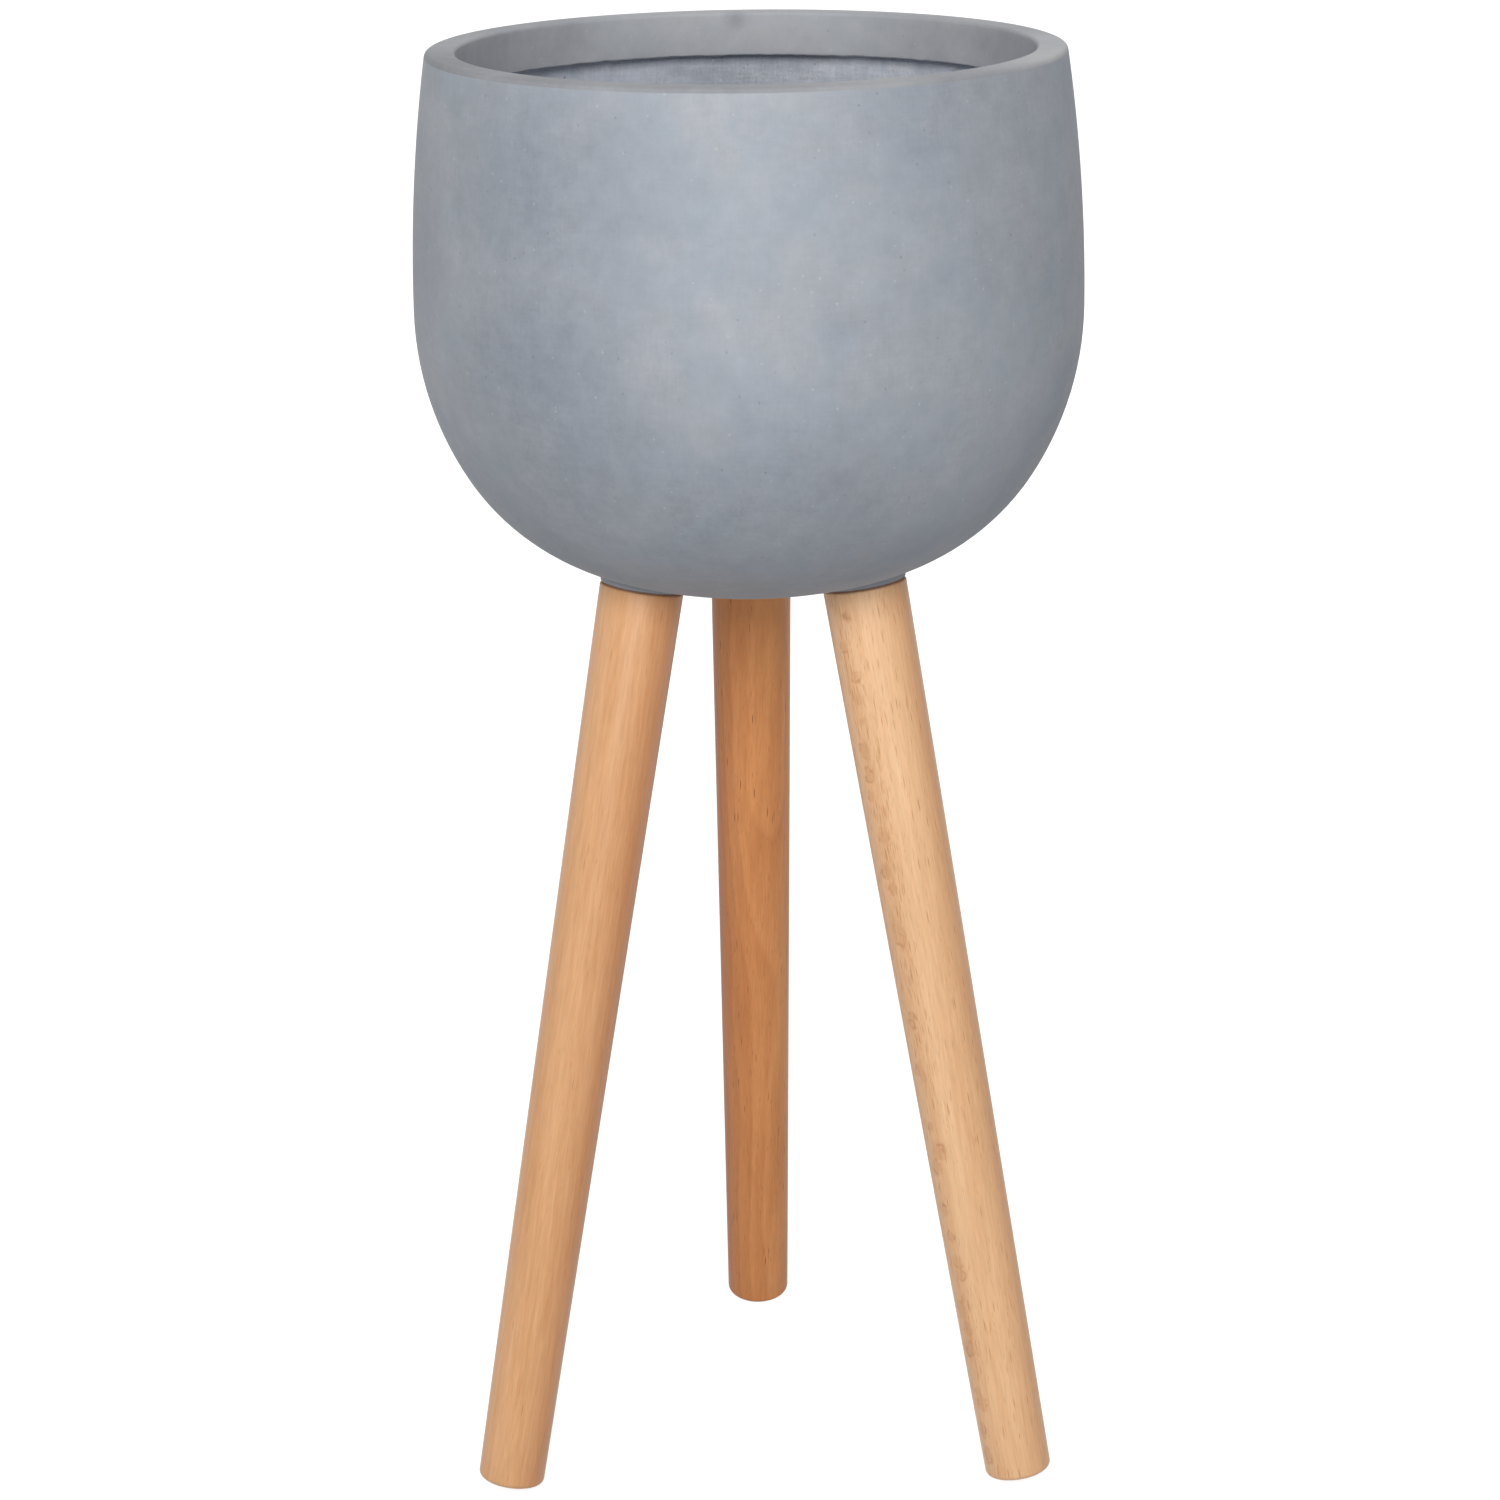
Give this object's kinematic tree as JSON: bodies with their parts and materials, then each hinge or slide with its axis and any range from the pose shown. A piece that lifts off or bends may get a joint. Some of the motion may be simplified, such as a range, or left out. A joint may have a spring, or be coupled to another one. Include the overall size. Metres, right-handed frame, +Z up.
{
  "type": "planter with legs",
  "caption": "Round cast planter bowl with a thick inward lip, standing on splayed turned wooden legs that screw into threaded inserts under it.",
  "frame": {"origin": "on the floor, under the middle of the bowl", "axes": "+Z up, +Y towards the rear leg and away from the viewer of the picture, +X to that viewer's right"},
  "size_m": [0.36, 0.3638, 0.796],
  "materials": {
    "cast_stone": "matte",
    "beech": "satin",
    "zinc_steel": "satin",
    "washer_fibre": "matte",
    "bung_rubber": "matte"
  },
  "bodies": {
    "bowl": {"bowl": "cast_stone", "threaded_insert_rear": "zinc_steel", "threaded_insert_front_left": "zinc_steel", "threaded_insert_front_right": "zinc_steel"},
    "leg_washer_rear": {"leg_washer_rear": "washer_fibre"},
    "leg_rear": {"leg_rear": "beech", "hanger_bolt_rear": "zinc_steel"},
    "leg_washer_front_left": {"leg_washer_front_left": "washer_fibre"},
    "leg_front_left": {"leg_front_left": "beech", "hanger_bolt_front_left": "zinc_steel"},
    "leg_washer_front_right": {"leg_washer_front_right": "washer_fibre"},
    "leg_front_right": {"leg_front_right": "beech", "hanger_bolt_front_right": "zinc_steel"},
    "drain_bung": {"drain_bung": "bung_rubber"}
  },
  "joints": [
    {"name": "leg_rear_travel", "type": "slide", "parent": "bowl", "child": "leg_washer_rear", "axis": [0, 0.1869, -0.9824], "range_m": [0, 0.02005]},
    {"name": "leg_rear_unscrew", "type": "hinge", "parent": "leg_washer_rear", "child": "leg_rear", "pos_m": [0, 0.0694, 0.51147], "axis": [0, 0.1869, -0.9824], "range_deg": [0, 5760]},
    {"name": "leg_front_left_travel", "type": "slide", "parent": "bowl", "child": "leg_washer_front_left", "axis": [-0.1618, -0.0934, -0.9824], "range_m": [0, 0.02005]},
    {"name": "leg_front_left_unscrew", "type": "hinge", "parent": "leg_washer_front_left", "child": "leg_front_left", "pos_m": [-0.0601, -0.0347, 0.51147], "axis": [-0.1618, -0.0934, -0.9824], "range_deg": [0, 5760]},
    {"name": "leg_front_right_travel", "type": "slide", "parent": "bowl", "child": "leg_washer_front_right", "axis": [0.1618, -0.0934, -0.9824], "range_m": [0, 0.02005]},
    {"name": "leg_front_right_unscrew", "type": "hinge", "parent": "leg_washer_front_right", "child": "leg_front_right", "pos_m": [0.0601, -0.0347, 0.51147], "axis": [0.1618, -0.0934, -0.9824], "range_deg": [0, 5760]},
    {"name": "drain_bung_lift", "type": "slide", "parent": "bowl", "child": "drain_bung", "axis": [0, 0, 1], "range_m": [0, 0.015]}
  ],
  "couplings": [
    {"joint": "leg_rear_travel", "follows": "leg_rear_unscrew", "m_per_rad": 0.00019894},
    {"joint": "leg_front_left_travel", "follows": "leg_front_left_unscrew", "m_per_rad": 0.00019894},
    {"joint": "leg_front_right_travel", "follows": "leg_front_right_unscrew", "m_per_rad": 0.00019894}
  ]
}
